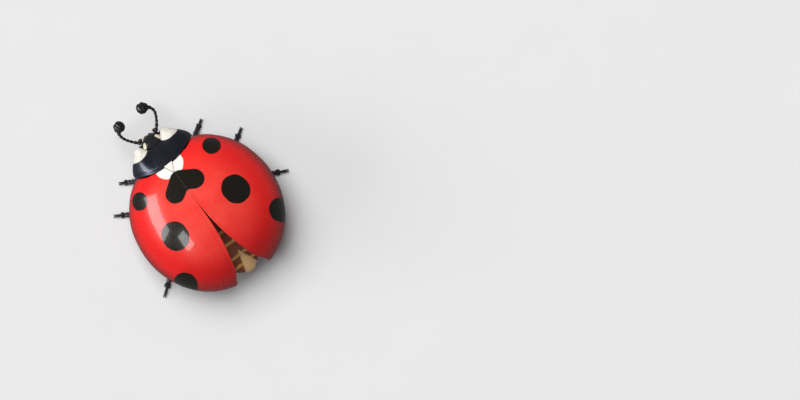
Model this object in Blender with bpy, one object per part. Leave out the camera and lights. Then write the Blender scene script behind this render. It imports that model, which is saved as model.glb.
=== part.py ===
"""A life-size seven-spot ladybird standing with its wing cases a little parted.

The beetle faces -Y, its left side is +X, +Z is up and it stands on z = 0. Every size below is in
millimetres times MM, so the script works in metres.
"""

import math

import bmesh
import bpy
from mathutils import Vector

MM = 0.001
CUT = 0.03 * MM  # width of the thin cuts and clearances between neighbours
SMOOTH_ANGLE = math.radians(40)

# The dome that the two wing cases (elytra) make when shut, measured from its widest point.
DOME_CENTRE_Y = 0.30 * MM
DOME_HALF_WIDTH = 3.28 * MM
DOME_HEIGHT = 2.75 * MM
DOME_FRONT = 3.00 * MM
DOME_REAR = 3.75 * MM
FRONT_POWER = 2.0
REAR_POWER = 1.8  # below 2, so the tail end is more pointed than an ellipse
RIM_HEIGHT = 1.15 * MM
RIM_RISE = 0.02 / MM  # the rim climbs by this times the squared distance from its lowest point
RIM_LOW_Y = 0.60 * MM
WING_CASE_WALL = 0.45 * MM
WING_CASE_FRONT = (math.radians(-48.3), math.radians(-61.6))  # front edge at the crest and at the rim

# How the wing cases stand apart: shut as far as the middle, then open towards the tail.
PART_START_Y = 0.0
PART_SLOPE = math.tan(math.radians(9.2))
PART_ROUND = 0.30 * MM
SEAM_HALF_GAP = 0.013 * MM
GAP_FLARE = 0.030 * MM  # how far the inner edges have curved apart one millimetre behind the start
GAP_FLARE_POWER = 2.3
APEX_BEVEL = 0.19 * MM
APEX_BEVEL_START_Y = 3.50 * MM
APEX_BEVEL_LENGTH = 0.50 * MM
SHIELD_NOTCH_HALF_WIDTH = 0.22 * MM
SHIELD_NOTCH_END_Y = -1.50 * MM
SHIELD_NOTCH_LENGTH = 0.45 * MM

# The body core under the wing cases.
CORE_HALF_WIDTH = 2.70 * MM
CORE_TOP = 1.70 * MM
CORE_BELLY = 0.30 * MM
CORE_FRONT = 2.45 * MM
CORE_REAR = 3.05 * MM
THORAX_FRONT_Y = -1.93 * MM
WAIST_Y = 0.80 * MM
TAIL_CUT_Y = 3.15 * MM
TAIL_LENGTH = 0.74 * MM
TAIL_RINGS = 8
TAIL_TAPER = 0.56  # below 1, so the tail swells behind its rounded tip

# Folded hind wings, between the wing cases and the abdomen, parted a little less than those.
HIND_WING_SWEEP = (math.radians(-30), math.radians(74))
HIND_WING_SPAN = (0.0, math.radians(48))
HIND_WING_PARTING = 0.80

# The pronotum, the shield over the front of the thorax.
PRONOTUM_FRONT_HALF = 1.02 * MM
PRONOTUM_REAR_HALF = 1.60 * MM
PRONOTUM_FRONT_Y = -3.02 * MM
PRONOTUM_CORNER_REACH = 0.41 * MM
PRONOTUM_CORNER_ROUND = 0.20 * MM
PRONOTUM_REAR_Y = -1.99 * MM
PRONOTUM_REAR_SWEEP = 0.40 * MM
PRONOTUM_RIM = (1.50 * MM, 1.30 * MM)
PRONOTUM_ARCH = (0.55 * MM, 1.72 * MM)
PRONOTUM_WALL = 0.22 * MM
PROTHORAX_BELLY = 0.46 * MM

HEAD_CENTRE = Vector((0, -3.04, 1.30)) * MM
HEAD_RADII = Vector((0.66, 0.52, 0.50)) * MM
EYE_CENTRE = Vector((0.53, -3.20, 1.42)) * MM
EYE_RADII = Vector((0.19, 0.20, 0.20)) * MM
LABRUM_CENTRE = Vector((0, -3.48, 1.06)) * MM
LABRUM_RADII = Vector((0.30, 0.14, 0.15)) * MM
PALP_PATH = [Vector(p) * MM for p in ((0.26, -3.22, 0.98), (0.34, -3.42, 0.86), (0.40, -3.66, 0.84))]
PALP_RADIUS = 0.22 * MM

FEELER_PATH = [
    Vector(p) * MM
    for p in (
        (0.30, -3.30, 1.32),
        (0.55, -3.58, 1.36),
        (0.73, -3.84, 1.42),
        (0.88, -4.14, 1.52),
        (0.88, -4.44, 1.62),
        (0.80, -4.62, 1.70),
        (0.66, -4.78, 1.76),
    )
]
FEELER_RADIUS = 0.25 * MM
FEELER_CLUB_RADIUS = 0.29 * MM
FEELER_CLUB_START = 0.78  # share of the feeler's length where the club begins

# Each leg of the left side in plan: hip, middle of the thigh, knee, ankle and toe.
LEG_PLANS = {
    "front": ((0.50, -2.22), (0.95, -2.12), (1.38, -2.12), (1.80, -2.42), (2.30, -2.71)),
    "mid": ((0.75, -1.05), (1.40, -0.92), (2.05, -0.90), (2.72, -1.32), (3.36, -1.72)),
    "hind": ((0.70, 0.40), (1.35, 0.68), (2.05, 1.08), (2.98, 1.84), (3.80, 2.46)),
}
# As in mid step, the right middle leg reaches further back than the left one,
# and the right hind leg further forward.
RIGHT_PLANS = {
    "mid": ((0.75, -1.05), (1.40, -0.86), (2.08, -0.72), (2.80, -0.95), (3.46, -1.33)),
    "hind": ((0.70, 0.40), (1.40, 0.50), (2.15, 0.66), (3.12, 1.00), (3.93, 1.42)),
}
LEG_HEIGHTS = (0.54, 0.55, 0.58, 0.27, 0.18)
THIGH_RADIUS = 0.28 * MM
SHIN_RADIUS = 0.25 * MM
HIP, THIGH, KNEE, ANKLE, TOE = range(5)

# Colour, roughness and metallic of each finish.
FINISHES = {
    "wing_case": ((0.70, 0.025, 0.015, 1), 0.25, 0.0),
    "shield": ((0.008, 0.008, 0.010, 1), 0.22, 0.0),
    "shell": ((0.012, 0.011, 0.014, 1), 0.35, 0.0),
    "eye": ((0.010, 0.008, 0.008, 1), 0.12, 0.0),
    "abdomen": ((0.085, 0.024, 0.014, 1), 0.45, 0.0),
    "tail": ((0.380, 0.230, 0.103, 1), 0.50, 0.0),
    "membrane": ((0.300, 0.180, 0.080, 1), 0.40, 0.0),
}


def clear_scene():
    for obj in list(bpy.data.objects):
        bpy.data.objects.remove(obj, do_unlink=True)


def make_collection(name):
    collection = bpy.data.collections.new(name)
    bpy.context.scene.collection.children.link(collection)
    return collection


def make_finish(name):
    colour, roughness, metallic = FINISHES[name]
    material = bpy.data.materials.new(name)
    material.use_nodes = True
    shader = material.node_tree.nodes["Principled BSDF"]
    shader.inputs["Base Color"].default_value = colour
    shader.inputs["Roughness"].default_value = roughness
    shader.inputs["Metallic"].default_value = metallic
    return material


def mix(low, high, share):
    return low + (high - low) * share


def smooth_step(share):
    share = min(max(share, 0.0), 1.0)
    return share * share * (3 - 2 * share)


def add_object(name, mesh_builder, collection, finish=None):
    """Turns a bmesh into a named object, closed and with its faces pointing out."""
    bmesh.ops.remove_doubles(mesh_builder, verts=mesh_builder.verts, dist=1e-4 * MM)
    bmesh.ops.recalc_face_normals(mesh_builder, faces=mesh_builder.faces)
    mesh = bpy.data.meshes.new(name)
    mesh_builder.to_mesh(mesh)
    mesh_builder.free()
    mesh.shade_smooth()
    mesh.set_sharp_from_angle(angle=SMOOTH_ANGLE)
    obj = bpy.data.objects.new(name, mesh)
    collection.objects.link(obj)
    if finish:
        mesh.materials.append(finish)
    return obj


def slab(along, across, place):
    """A closed plate of along x across cells, bent so that place(a, b, depth) puts each corner.

    a and b run from 0 to 1 over the plate. depth is 0 on its outer face and 1 on its inner face.
    """
    plate = bmesh.new()
    bmesh.ops.create_grid(plate, x_segments=along, y_segments=across, size=0.5)
    grown = bmesh.ops.extrude_face_region(plate, geom=plate.faces[:], use_keep_orig=True)
    for item in grown["geom"]:
        if isinstance(item, bmesh.types.BMVert):
            item.co.z = 1.0
    for vert in plate.verts:
        vert.co = place(vert.co.x + 0.5, vert.co.y + 0.5, vert.co.z)
    return plate


def ball(centre, radii, rings=10, segments=16, belly=None):
    """A sphere with its poles fore and aft, stretched to radii, with its own depth below if given."""
    shape = bmesh.new()
    bmesh.ops.create_uvsphere(shape, u_segments=segments, v_segments=rings, radius=1.0)
    for vert in shape.verts:
        x, y, z = vert.co.x, vert.co.z, vert.co.y
        drop = radii[2] if z > 0 or belly is None else belly
        vert.co = Vector(centre) + Vector((radii[0] * x, radii[1] * y, drop * z))
    return shape


def spindle(rings, segments, place):
    """A closed body about a fore-and-aft axis. place(ring, angle) puts each corner, from ring 0 to rings."""
    shape = bmesh.new()
    bmesh.ops.create_uvsphere(shape, u_segments=segments, v_segments=rings, radius=1.0)
    for vert in shape.verts:
        ring = round(math.acos(min(max(vert.co.z, -1), 1)) / math.pi * rings)
        vert.co = place(ring, math.atan2(vert.co.y, vert.co.x))
    return shape


def keep_behind(shape, point, normal):
    """Cuts the shape by a plane, keeps what lies behind the plane's normal and closes the cut."""
    everything = shape.verts[:] + shape.edges[:] + shape.faces[:]
    bmesh.ops.bisect_plane(
        shape, geom=everything, dist=1e-5 * MM, plane_co=point, plane_no=normal, clear_outer=True
    )
    rim = [edge for edge in shape.edges if edge.is_boundary]
    bmesh.ops.holes_fill(shape, edges=rim, sides=0)
    return shape


def smooth_path(points, steps):
    """Points along a Catmull-Rom curve through the given ones."""
    ends = [points[0] * 2 - points[1], *points, points[-1] * 2 - points[-2]]
    path = []
    for before, start, end, after in zip(ends, ends[1:], ends[2:], ends[3:]):
        for step in range(steps):
            t = step / steps
            path.append(
                0.5
                * (
                    start * 2
                    + (end - before) * t
                    + (before * 2 - start * 5 + end * 4 - after) * t**2
                    + (start * 3 - before - end * 3 + after) * t**3
                )
            )
    return path + [points[-1].copy()]


def tube(path, radius_at, resolution=3):
    """A round tube with domed ends along the path, as a mesh. radius_at takes the share of its length."""
    lengths = [0.0]
    for start, end in zip(path, path[1:]):
        lengths.append(lengths[-1] + (end - start).length)
    total = lengths[-1]
    radii = []
    for length in lengths:
        radius = radius_at(length / total)
        to_end = min(length, total - length)
        inside = max(radius - to_end, 0) / radius
        radii.append(radius * max(math.sqrt(1 - inside**2), 0.35))
    curve = bpy.data.curves.new("tube", "CURVE")
    curve.dimensions = "3D"
    curve.bevel_depth = 1.0
    curve.bevel_resolution = resolution
    curve.use_fill_caps = True
    spline = curve.splines.new("POLY")
    spline.points.add(len(path) - 1)
    for point, position, radius in zip(spline.points, path, radii):
        point.co = (*position, 1)
        point.radius = radius
    holder = bpy.data.objects.new("tube", curve)
    bpy.context.scene.collection.objects.link(holder)
    graph = bpy.context.evaluated_depsgraph_get()
    mesh = bpy.data.meshes.new_from_object(holder.evaluated_get(graph))
    shape = bmesh.new()
    shape.from_mesh(mesh)
    bmesh.ops.remove_doubles(shape, verts=shape.verts, dist=1e-4 * MM)
    bpy.data.objects.remove(holder, do_unlink=True)
    bpy.data.curves.remove(curve)
    bpy.data.meshes.remove(mesh)
    return shape


def mirrored(vector, side):
    return Vector((vector[0] * side, vector[1], vector[2]))


def carve(obj, cutter):
    """Cuts the cutter's space out of the object."""
    modifier = obj.modifiers.new("carve_" + cutter.name, "BOOLEAN")
    modifier.operation = "DIFFERENCE"
    modifier.object = cutter
    modifier.solver = "EXACT"


def make_cutter(name, shape, cutters):
    cutter = add_object(name, shape, cutters)
    cutter.hide_render = True
    cutter.display_type = "WIRE"
    return cutter


def rim_height(y):
    return RIM_HEIGHT + RIM_RISE * (y - RIM_LOW_Y) ** 2


def dome_point(sweep, span, inset):
    """A point of the shut dome. sweep runs fore to aft, span from the crest to the rim, both angles."""
    front = sweep < 0
    power = 2 / (FRONT_POWER if front else REAR_POWER)
    reach = (DOME_FRONT if front else DOME_REAR) - inset
    size = max(math.cos(sweep), 0.0) ** power
    y = DOME_CENTRE_Y + math.copysign(abs(math.sin(sweep)) ** power, sweep) * reach
    x = (DOME_HALF_WIDTH - inset) * size * math.sin(span)
    z = rim_height(y) + (DOME_HEIGHT - inset) * size * math.cos(span)
    return Vector((x, y, z))


def seam_offset(y):
    """How far a parted wing case is moved out from the middle line."""
    past = y - PART_START_Y
    return SEAM_HALF_GAP + PART_SLOPE * (math.hypot(past, PART_ROUND) + past) / 2


def edge_offset(y, b):
    """The same at b of the way out to the rim. The inner edge keeps to the middle line for longer."""
    past = max(y - PART_START_Y, 0) / MM
    flare = min(SEAM_HALF_GAP + GAP_FLARE * past ** GAP_FLARE_POWER, seam_offset(y))
    return mix(flare, seam_offset(y), smooth_step(2 * b))


def notch_offset(y):
    """How far the scutellum pushes that edge out, at the root of the wing case."""
    return SHIELD_NOTCH_HALF_WIDTH * min(max((SHIELD_NOTCH_END_Y - y) / SHIELD_NOTCH_LENGTH, 0), 1)


def wing_case(side, collection, finish):
    def place(a, b, depth):
        sweep = mix(mix(*WING_CASE_FRONT, smooth_step(1.2 * b)), math.pi / 2, a)
        point = dome_point(sweep, b * math.pi / 2, depth * WING_CASE_WALL)
        bevel = APEX_BEVEL * smooth_step((point.y - APEX_BEVEL_START_Y) / APEX_BEVEL_LENGTH)
        notch = notch_offset(point.y) * (1 - b) ** 4
        point.x += edge_offset(point.y, b) + notch + bevel * (1 - b) * (1 - depth)
        return mirrored(point, side)

    return add_object("elytron_" + side_name(side), slab(20, 14, place), collection, finish)


def hind_wing(side, collection, finish):
    clearance = 2 * CUT

    def place(a, b, depth):
        sweep = mix(*HIND_WING_SWEEP, a)
        span = mix(*HIND_WING_SPAN, b)
        outer = dome_point(sweep, span, WING_CASE_WALL + clearance)
        reach = (CORE_FRONT if sweep < 0 else CORE_REAR) + clearance
        y = DOME_CENTRE_Y + math.sin(sweep) * reach
        width = (CORE_HALF_WIDTH + clearance) * math.cos(sweep)
        rise = (CORE_TOP + clearance) * math.cos(sweep)
        inner = Vector((width * math.sin(span), y, rim_height(y) + rise * math.cos(span)))
        point = outer.lerp(inner, depth)
        point.x += HIND_WING_PARTING * edge_offset(point.y, span / (math.pi / 2))
        return mirrored(point, side)

    return add_object("hindwing_" + side_name(side), slab(12, 6, place), collection, finish)


def side_name(side):
    return "left" if side > 0 else "right"


def core_shape():
    """The thorax and abdomen as one egg, before they are parted."""
    shape = bmesh.new()
    bmesh.ops.create_uvsphere(shape, u_segments=24, v_segments=18, radius=1.0)
    for vert in shape.verts:
        x, y, z = vert.co.x, vert.co.z, vert.co.y
        y = DOME_CENTRE_Y + y * (CORE_FRONT if y < 0 else CORE_REAR)
        z = rim_height(y) + z * (CORE_TOP if z > 0 else CORE_BELLY)
        vert.co = Vector((x * CORE_HALF_WIDTH, y, z))
    return shape


def slice_between(shape, low_y, high_y):
    keep_behind(shape, Vector((0, high_y, 0)), Vector((0, 1, 0)))
    return keep_behind(shape, Vector((0, low_y, 0)), Vector((0, -1, 0)))


def tail_point(ring, angle):
    """A point of the tail: ring 0 is the middle of its flat root and ring 1 the rim of that."""
    middle = Vector((0, TAIL_CUT_Y, rim_height(TAIL_CUT_Y)))
    if ring == 0:
        return middle
    reach = math.sin(mix(0, math.pi / 2, (ring - 1) / (TAIL_RINGS - 1)))
    root = math.sqrt(1 - ((TAIL_CUT_Y - DOME_CENTRE_Y) / CORE_REAR) ** 2)
    size = root * (1 - reach) ** TAIL_TAPER
    y = TAIL_CUT_Y + reach * TAIL_LENGTH
    rise = size * math.sin(angle)
    depth = CORE_TOP if rise > 0 else CORE_BELLY
    return Vector((CORE_HALF_WIDTH * size * math.cos(angle), y, rim_height(y) + depth * rise))


def trunk(collection, thorax_finish, abdomen_finish, tail_finish):
    thorax = slice_between(core_shape(), THORAX_FRONT_Y, WAIST_Y - CUT)
    add_object("thorax", thorax, collection, thorax_finish)
    abdomen = slice_between(core_shape(), WAIST_Y, TAIL_CUT_Y - CUT)
    add_object("abdomen", abdomen, collection, abdomen_finish)
    tail = spindle(TAIL_RINGS, 20, tail_point)
    add_object("pygidium", tail, collection, tail_finish)


def pronotum_point(a, across, inset):
    """A point of the pronotum's shell. a runs front to rear, across is an angle from the middle line."""
    share = abs(math.sin(across))
    half = mix(PRONOTUM_FRONT_HALF, PRONOTUM_REAR_HALF, math.sin(a * math.pi / 2)) - inset
    corner = PRONOTUM_CORNER_REACH * smooth_step((share - 0.30) / 0.40)
    rounding = PRONOTUM_CORNER_ROUND * max((share - 0.80) / 0.20, 0) ** 2
    front = PRONOTUM_FRONT_Y - corner + rounding
    rear = PRONOTUM_REAR_Y - PRONOTUM_REAR_SWEEP * share**2
    arch = mix(*PRONOTUM_ARCH, a**0.65) - inset
    height = mix(*PRONOTUM_RIM, a) + arch * math.cos(across)
    return Vector((half * math.sin(across), mix(front, rear, a), height))


def pronotum(collection, finish):
    def place(a, b, depth):
        return pronotum_point(a, mix(-math.pi / 2, math.pi / 2, b), depth * PRONOTUM_WALL)

    return add_object("pronotum", slab(8, 20, place), collection, finish)


def prothorax(collection, head_cutter, finish):
    """The body of the first segment, which fills the pronotum from the head to the wing cases."""
    rings, start, end = 7, 0.30, 0.97

    def place(ring, angle):
        a = mix(start, end, min(max((ring - 1) / (rings - 2), 0), 1))
        across = math.asin(math.cos(angle))
        point = pronotum_point(a, across, PRONOTUM_WALL + CUT)
        rim = mix(*PRONOTUM_RIM, a)
        if math.sin(angle) < 0:
            point.z = rim - PROTHORAX_BELLY * math.cos(across)
        if ring in (0, rings):
            point = Vector((0, pronotum_point(a, 0, 0).y, rim))
        return point

    body = add_object("prothorax", spindle(rings, 20, place), collection, finish)
    carve(body, head_cutter)


def scutellum(collection, finish):
    """The small triangular plate between the roots of the wing cases."""
    front, rear = -1.92 * MM, -1.56 * MM
    lift, thickness = -0.03 * MM, 0.30 * MM

    def place(a, b, depth):
        y = mix(front, rear, a)
        half = max(edge_offset(y, 0) + notch_offset(y) - CUT, 0.02 * MM)
        share = math.sqrt(1 - ((y - DOME_CENTRE_Y) / DOME_FRONT) ** 2)
        top = rim_height(y) + DOME_HEIGHT * share + lift
        return Vector((mix(-half, half, b), y, top - depth * thickness))

    return add_object("scutellum", slab(4, 4, place), collection, finish)


def head_and_eyes(collection, cutters, shell_finish, eye_finish):
    """Makes the head and eyes, and returns cutters for the room that each needs, the eyes' by side."""
    clearance = Vector((CUT, CUT, CUT))
    head = add_object("head", ball(HEAD_CENTRE, HEAD_RADII, 12, 16), collection, shell_finish)
    sockets = {}
    for side in (1, -1):
        centre = mirrored(EYE_CENTRE, side)
        add_object("eye_" + side_name(side), ball(centre, EYE_RADII, 8, 12), collection, eye_finish)
        socket = ball(centre, EYE_RADII + clearance, 8, 12)
        sockets[side] = make_cutter("eye_socket_" + side_name(side), socket, cutters)
        carve(head, sockets[side])
    room = ball(HEAD_CENTRE, HEAD_RADII + clearance, 12, 16)
    return make_cutter("head_clearance", room, cutters), sockets


def mouthparts(collection, cutters, head_cutter, finish):
    labrum = add_object("labrum", ball(LABRUM_CENTRE, LABRUM_RADII, 8, 14), collection, finish)
    carve(labrum, head_cutter)
    room = ball(LABRUM_CENTRE, LABRUM_RADII + Vector((CUT, CUT, CUT)), 8, 14)
    labrum_cutter = make_cutter("labrum_clearance", room, cutters)
    for side in (1, -1):
        path = smooth_path([mirrored(point, side) for point in PALP_PATH], 3)
        palp = add_object(
            "palp_" + side_name(side), tube(path, lambda share: PALP_RADIUS, 2), collection, finish
        )
        carve(palp, head_cutter)
        carve(palp, labrum_cutter)


def feeler(side, collection, head_cutter, socket, finish):
    """One antenna: a curved stalk and, past a thin cut, the club at its tip."""
    path = smooth_path([mirrored(point, side) for point in FEELER_PATH], 2)
    cut_at = round(FEELER_CLUB_START * (len(path) - 1))

    def radius_at(share):
        swell = smooth_step((share - FEELER_CLUB_START + 0.10) / 0.15)
        return mix(FEELER_RADIUS, FEELER_CLUB_RADIUS, swell)

    along = (path[cut_at + 1] - path[cut_at - 1]).normalized()
    stalk = keep_behind(tube(path, radius_at), path[cut_at] - along * CUT / 2, along)
    club = keep_behind(tube(path, radius_at), path[cut_at] + along * CUT / 2, -along)
    stalk_object = add_object("antenna_" + side_name(side), stalk, collection, finish)
    add_object("antenna_club_" + side_name(side), club, collection, finish)
    carve(stalk_object, head_cutter)
    carve(stalk_object, socket)


def leg(name, plan, side, collection, finish):
    """One leg, modelled whole and parted at the knee and ankle, with a flat sole on the ground."""
    corners = [Vector((x * side, y, z)) * MM for (x, y), z in zip(plan, LEG_HEIGHTS)]
    steps = 4
    path = smooth_path(corners, steps)

    def radius_at(share):
        return mix(THIGH_RADIUS, SHIN_RADIUS, smooth_step(share / 0.55))

    cuts = []
    for joint in (KNEE, ANKLE):
        at = joint * steps
        along = (path[at + 1] - path[at - 1]).normalized()
        cuts.append((path[at], along))
    (knee, knee_way), (ankle, ankle_way) = cuts
    label = name + "_" + side_name(side)
    femur = keep_behind(tube(path, radius_at), knee - knee_way * CUT / 2, knee_way)
    add_object("femur_" + label, femur, collection, finish)
    tibia = keep_behind(tube(path, radius_at), knee + knee_way * CUT / 2, -knee_way)
    tibia = keep_behind(tibia, ankle - ankle_way * CUT / 2, ankle_way)
    add_object("tibia_" + label, tibia, collection, finish)
    tarsus = keep_behind(tube(path, radius_at), ankle + ankle_way * CUT / 2, -ankle_way)
    tarsus = keep_behind(tarsus, Vector((0, 0, 0)), Vector((0, 0, -1)))
    add_object("tarsus_" + label, tarsus, collection, finish)


def centre_over_origin(collection):
    """Moves everything sideways so that the middle of the model's footprint is the origin."""
    bpy.context.view_layer.update()
    corners = [obj.matrix_world @ Vector(c) for obj in collection.objects for c in obj.bound_box]
    middle = Vector([(max(p[i] for p in corners) + min(p[i] for p in corners)) / 2 for i in range(2)] + [0])
    root = bpy.data.objects.new("ladybird_root", None)
    bpy.context.scene.collection.objects.link(root)
    root.location = -middle
    return root


def build():
    clear_scene()
    parts = make_collection("ladybird")
    cutters = make_collection("cutters")
    finishes = {name: make_finish(name) for name in FINISHES}
    for side in (1, -1):
        wing_case(side, parts, finishes["wing_case"])
        hind_wing(side, parts, finishes["membrane"])
    trunk(parts, finishes["shell"], finishes["abdomen"], finishes["tail"])
    pronotum(parts, finishes["shield"])
    scutellum(parts, finishes["shield"])
    head_cutter, sockets = head_and_eyes(parts, cutters, finishes["shell"], finishes["eye"])
    prothorax(parts, head_cutter, finishes["shell"])
    mouthparts(parts, cutters, head_cutter, finishes["shell"])
    for side in (1, -1):
        feeler(side, parts, head_cutter, sockets[side], finishes["shell"])
        for name, plan in LEG_PLANS.items():
            if side < 0:
                plan = RIGHT_PLANS.get(name, plan)
            leg(name, plan, side, parts, finishes["shell"])
    root = centre_over_origin(parts)
    for obj in [*parts.objects, *cutters.objects]:
        obj.parent = root


build()
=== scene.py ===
import bpy
import bmesh
import math
import random
from mathutils import Matrix, Vector, noise


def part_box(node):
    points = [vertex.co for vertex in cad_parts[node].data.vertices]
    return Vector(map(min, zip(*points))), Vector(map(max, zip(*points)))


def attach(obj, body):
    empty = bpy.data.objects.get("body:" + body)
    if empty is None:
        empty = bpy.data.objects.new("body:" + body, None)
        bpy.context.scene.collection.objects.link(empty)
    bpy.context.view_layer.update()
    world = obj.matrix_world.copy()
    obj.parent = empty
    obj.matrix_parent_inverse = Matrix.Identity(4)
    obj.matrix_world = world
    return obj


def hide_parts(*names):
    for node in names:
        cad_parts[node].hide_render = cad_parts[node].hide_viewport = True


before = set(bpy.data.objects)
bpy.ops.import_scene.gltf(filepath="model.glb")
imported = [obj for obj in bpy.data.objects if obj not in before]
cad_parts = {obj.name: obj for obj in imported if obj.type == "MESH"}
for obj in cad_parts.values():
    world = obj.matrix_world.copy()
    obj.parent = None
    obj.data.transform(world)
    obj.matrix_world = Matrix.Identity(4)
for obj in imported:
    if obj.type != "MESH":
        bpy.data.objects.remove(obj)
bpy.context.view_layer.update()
mm = 0.001
sides = ((1, "left"), (-1, "right"))

# Everything is laid out in millimetres from a point on the beetle's middle line:
# -y is forwards, z is up from the ground.
headLow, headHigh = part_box("head")
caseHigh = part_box("elytron_left")[1]
tipBehindZero = 4.05
bodyZero = Vector(((headLow.x + headHigh.x) / 2, caseHigh.y - tipBehindZero * mm, 0))

dome = dict(centreY=0.30, halfWidth=3.28, height=2.75, front=3.00, rear=3.75, frontPower=2.0, rearPower=1.8,
            rim=1.15, rimRise=0.02, rimLowY=0.60)
parting = dict(slope=math.tan(math.radians(9.2)), rounding=0.30, halfGap=0.005, flare=0.030, flarePower=2.3)


def mix(low, high, share):
    return low + (high - low) * share


def smooth(share):
    share = min(max(share, 0.0), 1.0)
    return share * share * (3 - 2 * share)


def eased(share, amount):
    # draws the steps of a grid closer together at both ends
    return mix(share, (1 - math.cos(share * math.pi)) / 2, amount)


def bell(distance, width):
    return math.exp(-((distance / width) ** 2))


def bodyPoint(x, y, z):
    return bodyZero + Vector((x, y, z)) * mm


def rimHeight(y):
    return dome["rim"] + dome["rimRise"] * (y - dome["rimLowY"]) ** 2


def domePoint(sweep, span, inset):
    rear = sweep >= 0
    power = 2 / (dome["rearPower"] if rear else dome["frontPower"])
    reach = (dome["rear"] if rear else dome["front"]) - inset
    size = max(math.cos(sweep), 0.0) ** power
    y = dome["centreY"] + math.copysign(abs(math.sin(sweep)) ** power, sweep) * reach
    x = (dome["halfWidth"] - inset) * size * math.sin(span)
    return Vector((x, y, rimHeight(y) + (dome["height"] - inset) * size * math.cos(span)))


def seamOffset(y):
    return parting["halfGap"] + parting["slope"] * (math.hypot(y, parting["rounding"]) + y) / 2


def edgeOffset(y, b):
    # a wing case's inner edge keeps to the middle line for longer than the rest of it, then curves away
    flare = parting["halfGap"] + parting["flare"] * max(y, 0) ** parting["flarePower"]
    return mix(min(flare, seamOffset(y)), seamOffset(y), smooth(2 * b))


def onShell(x, y):
    # the point of a wing case's outer face straight above a place in the plan
    rear = y > dome["centreY"]
    power = dome["rearPower"] if rear else dome["frontPower"]
    share = min(abs(y - dome["centreY"]) / (dome["rear"] if rear else dome["front"]), 1)
    size = (1 - share ** power) ** (1 / power)
    across = max(abs(x) - seamOffset(y), 0) / dome["halfWidth"]
    return Vector((x, y, rimHeight(y) + dome["height"] * math.sqrt(max(size ** 2 - across ** 2, 0))))


def addObject(name, data):
    holder = bpy.data.objects.new(name, data)
    bpy.context.scene.collection.objects.link(holder)
    return holder


def makePiece(name, shape, material, replaced):
    # material can be a pair: the second is for faces marked with material_index 1
    materials = material if isinstance(material, tuple) else (material,)
    bmesh.ops.remove_doubles(shape, verts=shape.verts, dist=2e-8)
    bmesh.ops.recalc_face_normals(shape, faces=shape.faces)
    mesh = bpy.data.meshes.new(name)
    shape.to_mesh(mesh)
    shape.free()
    mesh.shade_smooth()
    for paint in materials:
        mesh.materials.append(paint)
    if len(materials) == 1:
        mesh.polygons.foreach_set("material_index", [0] * len(mesh.polygons))
    piece = addObject(name, mesh)
    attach(piece, "root")
    if replaced:
        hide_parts(*replaced)


def addInto(shape, other):
    # puts the other bmesh's shape into this one
    mesh = bpy.data.meshes.new("part")
    other.to_mesh(mesh)
    other.free()
    shape.from_mesh(mesh)
    bpy.data.meshes.remove(mesh)


def plate(along, across, place):
    # a grid with a second face under it; place(a, b, under) puts each corner, with a and b from 0 to 1
    shape = bmesh.new()
    bmesh.ops.create_grid(shape, x_segments=along, y_segments=across, size=0.5)
    grown = bmesh.ops.extrude_face_region(shape, geom=shape.faces[:], use_keep_orig=True)
    for item in grown["geom"]:
        if isinstance(item, bmesh.types.BMVert):
            item.co.z = 1
    for face in shape.faces:
        face.material_index = int(all(vert.co.z > 0.5 for vert in face.verts))
    for vert in shape.verts:
        vert.co = place(vert.co.x + 0.5, vert.co.y + 0.5, vert.co.z > 0.5)
    return shape


def ball(segments, rings):
    shape = bmesh.new()
    bmesh.ops.create_uvsphere(shape, u_segments=segments, v_segments=rings, radius=1)
    return shape


def spindle(rings, segments, place):
    # a closed body round an axis; place(share, angle) puts each corner, share runs 0 to 1 along the axis
    shape = ball(segments, rings)
    for vert in shape.verts:
        share = math.acos(min(max(vert.co.z, -1), 1)) / math.pi
        vert.co = place(share, math.atan2(vert.co.y, vert.co.x))
    return shape


def stretched(shape, centre, radii, turn):
    # gives a ball its three radii, turns it with the matrix and sets it in its place
    size = Matrix.Diagonal((*(radius * mm for radius in radii), 1))
    matrix = Matrix.Translation(bodyPoint(*centre)) @ turn @ size
    bmesh.ops.transform(shape, matrix=matrix, verts=shape.verts)
    return shape


def turned(angle):
    return Matrix.Rotation(angle, 4, "Z")


def pathThrough(points, steps):
    # a smooth curve through the points
    ends = [points[0] * 2 - points[1], *points, points[-1] * 2 - points[-2]]
    path = []
    for before, start, end, after in zip(ends, ends[1:], ends[2:], ends[3:]):
        for step in range(steps):
            t = step / steps
            curve = (before * 2 - start * 5 + end * 4 - after) * t ** 2
            twist = (start * 3 - before - end * 3 + after) * t ** 3
            path.append(0.5 * (start * 2 + (end - before) * t + curve + twist))
    return path + [points[-1].copy()]


def alongPath(path, share):
    lengths = [0.0]
    for start, end in zip(path, path[1:]):
        lengths.append(lengths[-1] + (end - start).length)
    target = min(max(share, 0), 1) * lengths[-1]
    for i in range(len(path) - 1):
        if target <= lengths[i + 1] or i == len(path) - 2:
            part = (target - lengths[i]) / (lengths[i + 1] - lengths[i])
            return path[i].lerp(path[i + 1], part), (path[i + 1] - path[i]).normalized()


def profileAt(profile, share):
    for (low, start), (high, end) in zip(profile, profile[1:]):
        if share <= high:
            return mix(start, end, smooth((share - low) / (high - low)))
    return profile[-1][1]


def limb(path, profile, rings, segments, tall=1.0):
    # a closed body swept along a path in body millimetres; the profile lists (share of length, radius)
    length = sum((b - a).length for a, b in zip(path, path[1:]))

    def place(ring, angle):
        share = (1 - math.cos(ring * math.pi)) / 2
        centre, way = alongPath(path, share)
        side = way.cross(Vector((0, 0, 1))).normalized()
        up = side.cross(way)
        radius = profileAt(profile, share)
        toEnd = min(share, 1 - share) * length
        radius *= math.sqrt(max(1 - max(1 - toEnd / radius, 0) ** 2, 0)) if toEnd < radius else 1
        return bodyPoint(*(centre + (side * math.cos(angle) + up * math.sin(angle) * tall) * radius))

    return spindle(rings, segments, place)


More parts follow.
